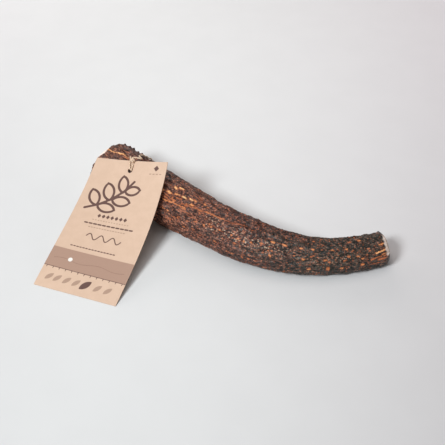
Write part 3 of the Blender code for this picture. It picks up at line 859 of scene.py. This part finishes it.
def make_tag():
    """The card: front and back grids with a round hole, joined round the outline and the hole.

    A square of the grid, HOLE_PATCH cells each way from the hole, gives way to HOLE_RINGS rings
    that blend evenly from it to the circle.
    """
    columns = round(TAG_WIDTH / CARD_CELL) // 2 * 2
    rows = round(TAG_HEIGHT / CARD_CELL)
    middle = (round(HOLE_HEIGHT / TAG_HEIGHT * rows), columns // 2)
    flat = np.stack(np.meshgrid(np.linspace(-TAG_WIDTH / 2, TAG_WIDTH / 2, columns + 1),
                                np.linspace(0, TAG_HEIGHT, rows + 1)), axis=-1).reshape(-1, 2)
    index = np.arange(len(flat)).reshape(rows + 1, columns + 1)
    faces = grid_faces(rows + 1, columns + 1, False)
    cell = np.stack(np.divmod(faces[:, 0], columns + 1), axis=-1) + 0.5
    faces = faces[np.abs(cell - middle).max(axis=1) > HOLE_PATCH]
    square = rim_of(index[tuple(slice(k - HOLE_PATCH, k + HOLE_PATCH + 1) for k in middle)])
    lean = np.arctan2(flat[square, 1] - HOLE_HEIGHT, flat[square, 0])
    circle = HOLE_RADIUS * np.stack([np.cos(lean), np.sin(lean)], axis=-1) + [0, HOLE_HEIGHT]
    steps = np.linspace(0, 1, HOLE_RINGS + 1)[1:, None, None]
    patch = (flat[square] * (1 - steps) + circle * steps).reshape(-1, 2)
    rings = np.append(square, len(flat) + np.arange(len(patch))).reshape(HOLE_RINGS + 1, -1)
    after = np.roll(rings, -1, axis=1)
    ring_faces = np.stack([rings[:-1], after[:-1], after[1:], rings[1:]], axis=-1).reshape(-1, 4)
    used, sheet = np.unique(np.concatenate([faces, ring_faces]), return_inverse=True)
    sheet = sheet.reshape(-1, 4)
    u, v = np.concatenate([flat, patch])[used].T
    total = len(u)
    front, back = (tag_point(u, v, side * TAG_THICKNESS / 2) for side in (1, -1))
    quads = [sheet, sheet[:, ::-1] + total]
    for loop in (rim_of(index), rings[-1, ::-1]):
        loop = np.searchsorted(used, loop)
        ahead = np.roll(loop, -1)
        quads.append(np.stack([loop, loop + total, ahead + total, ahead], axis=-1))
    tag = build_mesh("hang_tag", np.concatenate([front, back]), np.concatenate(quads))
    tag.data.set_sharp_from_angle(angle=math.radians(50))
    for name, values in card_print(u / MM, v / MM).items():
        set_value(tag, name, np.tile(np.clip(values, -3, 3), 2))
    set_value(tag, "front", np.repeat([1.0, 0.0], total))
    flat = np.stack([u, v, 0 * u], axis=-1)
    set_value(tag, "flat", np.concatenate([flat, flat - [0, 0, TAG_THICKNESS]]))
    tag.data.materials.append(card_finish())
    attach(tag, "root")
    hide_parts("tag")


def twine_on_tag(route):
    """Points of a route given in millimetres across the card, up it and out from it."""
    return tag_point(*(np.array(route) * MM).T)


def twine_route():
    """The twine's path: knot, card's hole, round the beam, over the top, hole again and knot."""
    top = TAG_HEIGHT / MM
    hole = HOLE_HEIGHT / MM
    off = (TAG_THICKNESS / 2 + TWINE_GAP + TWINE_RADIUS) / MM
    to_beam = twine_on_tag([
        (1.5, top - 3.3, off + 0.1), (1.55, top - 4.4, off), (1.55, hole + 2.4, off), (1.4, hole + 1.3, off),
        (1.15, hole + 0.65, 0.9 * off), (1.02, hole + 0.3, 0.25 * off), (1.02, hole + 0.3, -0.45 * off),
        (1.35, hole + 0.45, -off), (2.5, hole + 0.5, -off - 0.1), (4.2, hole + 0.4, -off - 0.2),
    ])
    degrees = np.arange(*WRAP_DEGREES, dtype=float)
    turn = np.radians(degrees)
    s = WRAP_BACK + WRAP_FRONT * smooth((330 - degrees) / 170) - WRAP_LEAVE * smooth((138 - degrees) / 24)
    near_by = [coarse_relief(s + ahead * MM, turn + aside)
               for ahead in (-1.2, 0, 1.2) for aside in (-0.05, 0, 0.05)]
    lift = np.max(near_by, axis=0) - coarse_relief(s, turn) + TWINE_GAP + TWINE_RADIUS
    round_beam = beam_point(s, turn, lift)
    round_beam[:, 2] = np.maximum(round_beam[:, 2], TWINE_RADIUS)
    back = twine_on_tag([
        (4.9, top + 2.4, 0.0), (3.5, top + 2.4, 1.0), (1.8, top + 2.2, 1.7), (0.1, top + 1.8, 1.95),
        (-1.2, top + 0.5, 1.9), (-1.6, top - 1.1, off + 0.2), (-1.4, top - 3.0, off),
        (-0.75, hole + 3.2, off), (-0.4, hole + 1.9, off), (-0.35, hole + 1.25, 0.9 * off),
        (-0.35, hole + 1.0, 0.25 * off), (-0.35, hole + 1.02, -0.45 * off),
        (-0.45, hole + 1.55, -1.05 * off), (-0.8, top - 4.0, -off), (-0.6, top - 0.6, -off - 0.1),
        (-0.5, top + 0.7, -0.85 * off), (-0.2, top + 1.2, 0.0),
    ])
    return np.concatenate([to_beam, round_beam, back])


def lengths_along(points):
    """Distance along a line of points, from 0 at its first."""
    return np.append(0.0, np.cumsum(np.linalg.norm(np.diff(points, axis=0), axis=1)))


def even_path(points, step):
    """Points at even steps on a smooth curve: cubic pieces, each point's tangent from its neighbours."""
    gap = lengths_along(points)
    slope = np.gradient(points, gap, axis=0)
    t = np.linspace(0, gap[-1], int(gap[-1] / step) * 4)
    k = np.clip(np.searchsorted(gap, t, side="right") - 1, 0, len(gap) - 2)
    h = (gap[k + 1] - gap[k])[:, None]
    f = (t - gap[k])[:, None] / h
    curve = ((2 * f ** 3 - 3 * f ** 2 + 1) * points[k] + (f ** 3 - 2 * f ** 2 + f) * h * slope[k]
             + (3 * f ** 2 - 2 * f ** 3) * points[k + 1] + (f ** 3 - f ** 2) * h * slope[k + 1])
    run = lengths_along(curve)
    even = np.linspace(0, run[-1], int(run[-1] / step) + 1)
    return look_up(even, run, curve), even


def carry_frame(path):
    """Two directions across a path at each of its points, turned as little as possible along it."""
    forward = np.gradient(path, axis=0)
    forward /= np.linalg.norm(forward, axis=1, keepdims=True)
    side = np.zeros_like(path)
    side[0] = np.cross(forward[0], [0.3, 0.5, 0.8])
    side[0] /= np.linalg.norm(side[0])
    for k in range(1, len(path)):
        kept = side[k - 1] - forward[k] * (side[k - 1] @ forward[k])
        side[k] = kept / np.linalg.norm(kept)
    return side, np.cross(forward, side)


def twine_tube(name, points, radius, twist, sides=16):
    """Two-ply twine along a path: a section of two round lobes that turns as it goes, closed at its ends.

    The radius at an angle from the lobes' line is 0.62 + 0.38 |cos|^0.8 of the twine's, and the lobes
    turn once in each twist of length.
    """
    path, run = even_path(points, TWINE_STEP)
    side, up = carry_frame(path)
    angle = np.linspace(0, TURN, sides, endpoint=False)
    lobe = np.abs(np.cos(angle[None, :] - TURN * run[:, None] / twist))
    ends = np.minimum(run, run[-1] - run)
    close = np.sqrt(np.clip(ends / (0.5 * radius), 0.02, 1))
    reach = radius * (0.62 + 0.38 * lobe ** 0.8) * close[:, None]
    rows = path[:, None] + reach[..., None] * (np.cos(angle)[:, None] * side[:, None]
                                               + np.sin(angle)[:, None] * up[:, None])
    fans = end_fans(len(path), sides)[:, [1, 0, 2]]
    tube = build_mesh(name, np.concatenate([rows.reshape(-1, 3), path[:1], path[-1:]]),
                      grid_faces(len(path), sides, True), fans)
    set_value(tube, "ply", np.append(lobe, [0.5, 0.5]))
    parts = np.broadcast_arrays(run[:, None], radius * np.cos(angle), radius * np.sin(angle))
    straight = np.stack(parts, axis=-1).reshape(-1, 3)
    set_value(tube, "straight", np.concatenate([straight, [[0, 0, 0], [run[-1], 0, 0]]]))
    return tube


def twine_finish():
    """Natural twine: cream and tan fibres wound round, with painted shade between the plies."""
    m = Nodes("twine_finish")
    place = m.value("straight", out="Vector")
    ply = m.value("ply")
    strand = m.noise(place, 2600, 4, 0.7, (0.4, 1, 1))
    patch = m.noise(place, 300, 3, 0.6)
    pale = m.mix(m.spread(patch, 0.35, 0.65), colour(206, 180, 154), colour(230, 206, 184))
    paint = m.mix(m.times(m.spread(strand, 0.45, 0.7), 0.5), pale, colour(168, 132, 104))
    # Painted shade: darker where the two plies meet.
    paint = m.mix(m.spread(ply, 0.45, 0.05), paint, colour(132, 94, 68))
    normal = m.bump(strand, 0.12 * MM, 0.8)
    return m.finish(paint, 0.85, 0.25, Normal=normal)


def make_twine():
    """The twine with its knot: one strand on its route, a wound knot and two short ends."""
    finish = twine_finish()
    twine = twine_tube("twine_strand", twine_route(), TWINE_RADIUS, TWIST)
    twine.data.materials.append(finish)
    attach(twine, "root")
    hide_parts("twine")
    top = TAG_HEIGHT / MM
    t = np.linspace(0, TURN * 2.05, 60)
    loop = np.stack([1.5 + 0.85 * np.sin(t) + 0.25 * np.sin(2.5 * t),
                     top - 0.7 + np.cos(t) * np.cos(0.6 * t), 2.3 + 0.85 * np.sin(1.5 * t + 0.4)], axis=-1)
    start = [[-1.6, top + 2.6, 2.6], [-1.3, top + 1.6, 3.1], [-0.2, top + 0.4, 3.1]]
    end = [[1.6, top - 1.8, 2.6], [1.6, top - 2.8, 2.2]]
    knot_points = twine_on_tag(np.concatenate([start, loop[4:-4], end]))
    knot = twine_tube("twine_knot_strand", knot_points, KNOT_RADIUS, KNOT_TWIST)
    knot.data.materials.append(finish)
    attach(knot, "root")
    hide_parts("twine_knot")


def floor_finish():
    """Plain pale paper with a very faint mottle on its painted slow shading."""
    m = Nodes("floor_finish")
    place = m.add("ShaderNodeTexCoord", out="Object")
    mottle = m.mix(m.spread(m.noise(place, 30, 3, 0.5), 0.3, 0.7), (0.985, 0.985, 0.985, 1), (1, 1, 1, 1))
    paint = m.mix(1.0, m.value("shade", out="Color"), mottle, "MULTIPLY")
    return m.finish(paint, 0.7, 0.2)


def make_floor():
    """A wide flat ground, painted slowly darker to the right and towards the camera and a little pinker to
    the right: painted shade and tint of the light's fall-off.
    """
    lines = np.concatenate([[-6.0, -2.0], np.linspace(-0.5, 0.6, 89), [2.0, 6.0]])
    x, y = np.meshgrid(lines, lines)
    points = np.stack([x, y, 0 * x], axis=-1).reshape(-1, 3)
    floor = build_mesh("floor", points, grid_faces(len(lines), len(lines), False))
    across = np.clip(x.ravel() / 0.2, -1.2, 1.3)
    away = np.clip((y.ravel() - 0.06) / 0.2, -1.4, 1.6)
    # Painted shade and tint: the floor's colour falls off to the right and towards the camera and turns a
    # little pinker to the right, standing in for the lights' fall-off.
    dim = 1 + sum(share * across ** one * away ** other for one, other, share in FLOOR_PAINTED_FALLOFF)
    red = 0.998 + 0.017 * across + 0.019 * across ** 2
    blue = 1.003 + 0.008 * across + 0.011 * across ** 2
    set_value(floor, "shade", np.stack([red, 1 + 0 * red, blue], axis=-1) * (FLOOR_SHADE / dim)[:, None])
    floor.data.materials.append(floor_finish())


def make_light():
    """Soft key light from the front left, weaker wide lights all round and above, and a dim even sky."""
    for name, azimuth, elevation, distance, size, power, tint in LIGHTS:
        lamp = bpy.data.lights.new(name, "AREA")
        lamp.size = size
        lamp.energy = power
        lamp.color = tint
        made = add_object(name, lamp)
        made.location = distance * direction(math.radians(azimuth), math.radians(elevation))
        made.rotation_euler = (Vector(LIGHT_AIM) - made.location).to_track_quat("-Z", "Y").to_euler()
    world = bpy.data.worlds.new("studio")
    world.use_nodes = True
    sky = world.node_tree.nodes["Background"].inputs
    sky["Color"].default_value = (1.0, 1.0, 1.0, 1.0)
    sky["Strength"].default_value = SKY
    bpy.context.scene.world = world


def make_camera():
    """The camera, aimed at the target from the photograph's angle."""
    lens = bpy.data.cameras.new("camera")
    lens.lens = LENS
    lens.sensor_width = 36.0
    lens.clip_end = 20.0
    made = add_object("camera", lens)
    made.location = TARGET + DISTANCE * direction(-math.pi / 2, ELEVATION)
    made.rotation_euler = (math.pi / 2 - ELEVATION, 0.0, 0.0)
    bpy.context.scene.camera = made


make_camera()
make_floor()
make_light()
make_antler()
make_tag()
make_twine()
bpy.context.scene.view_settings.view_transform = "Standard"
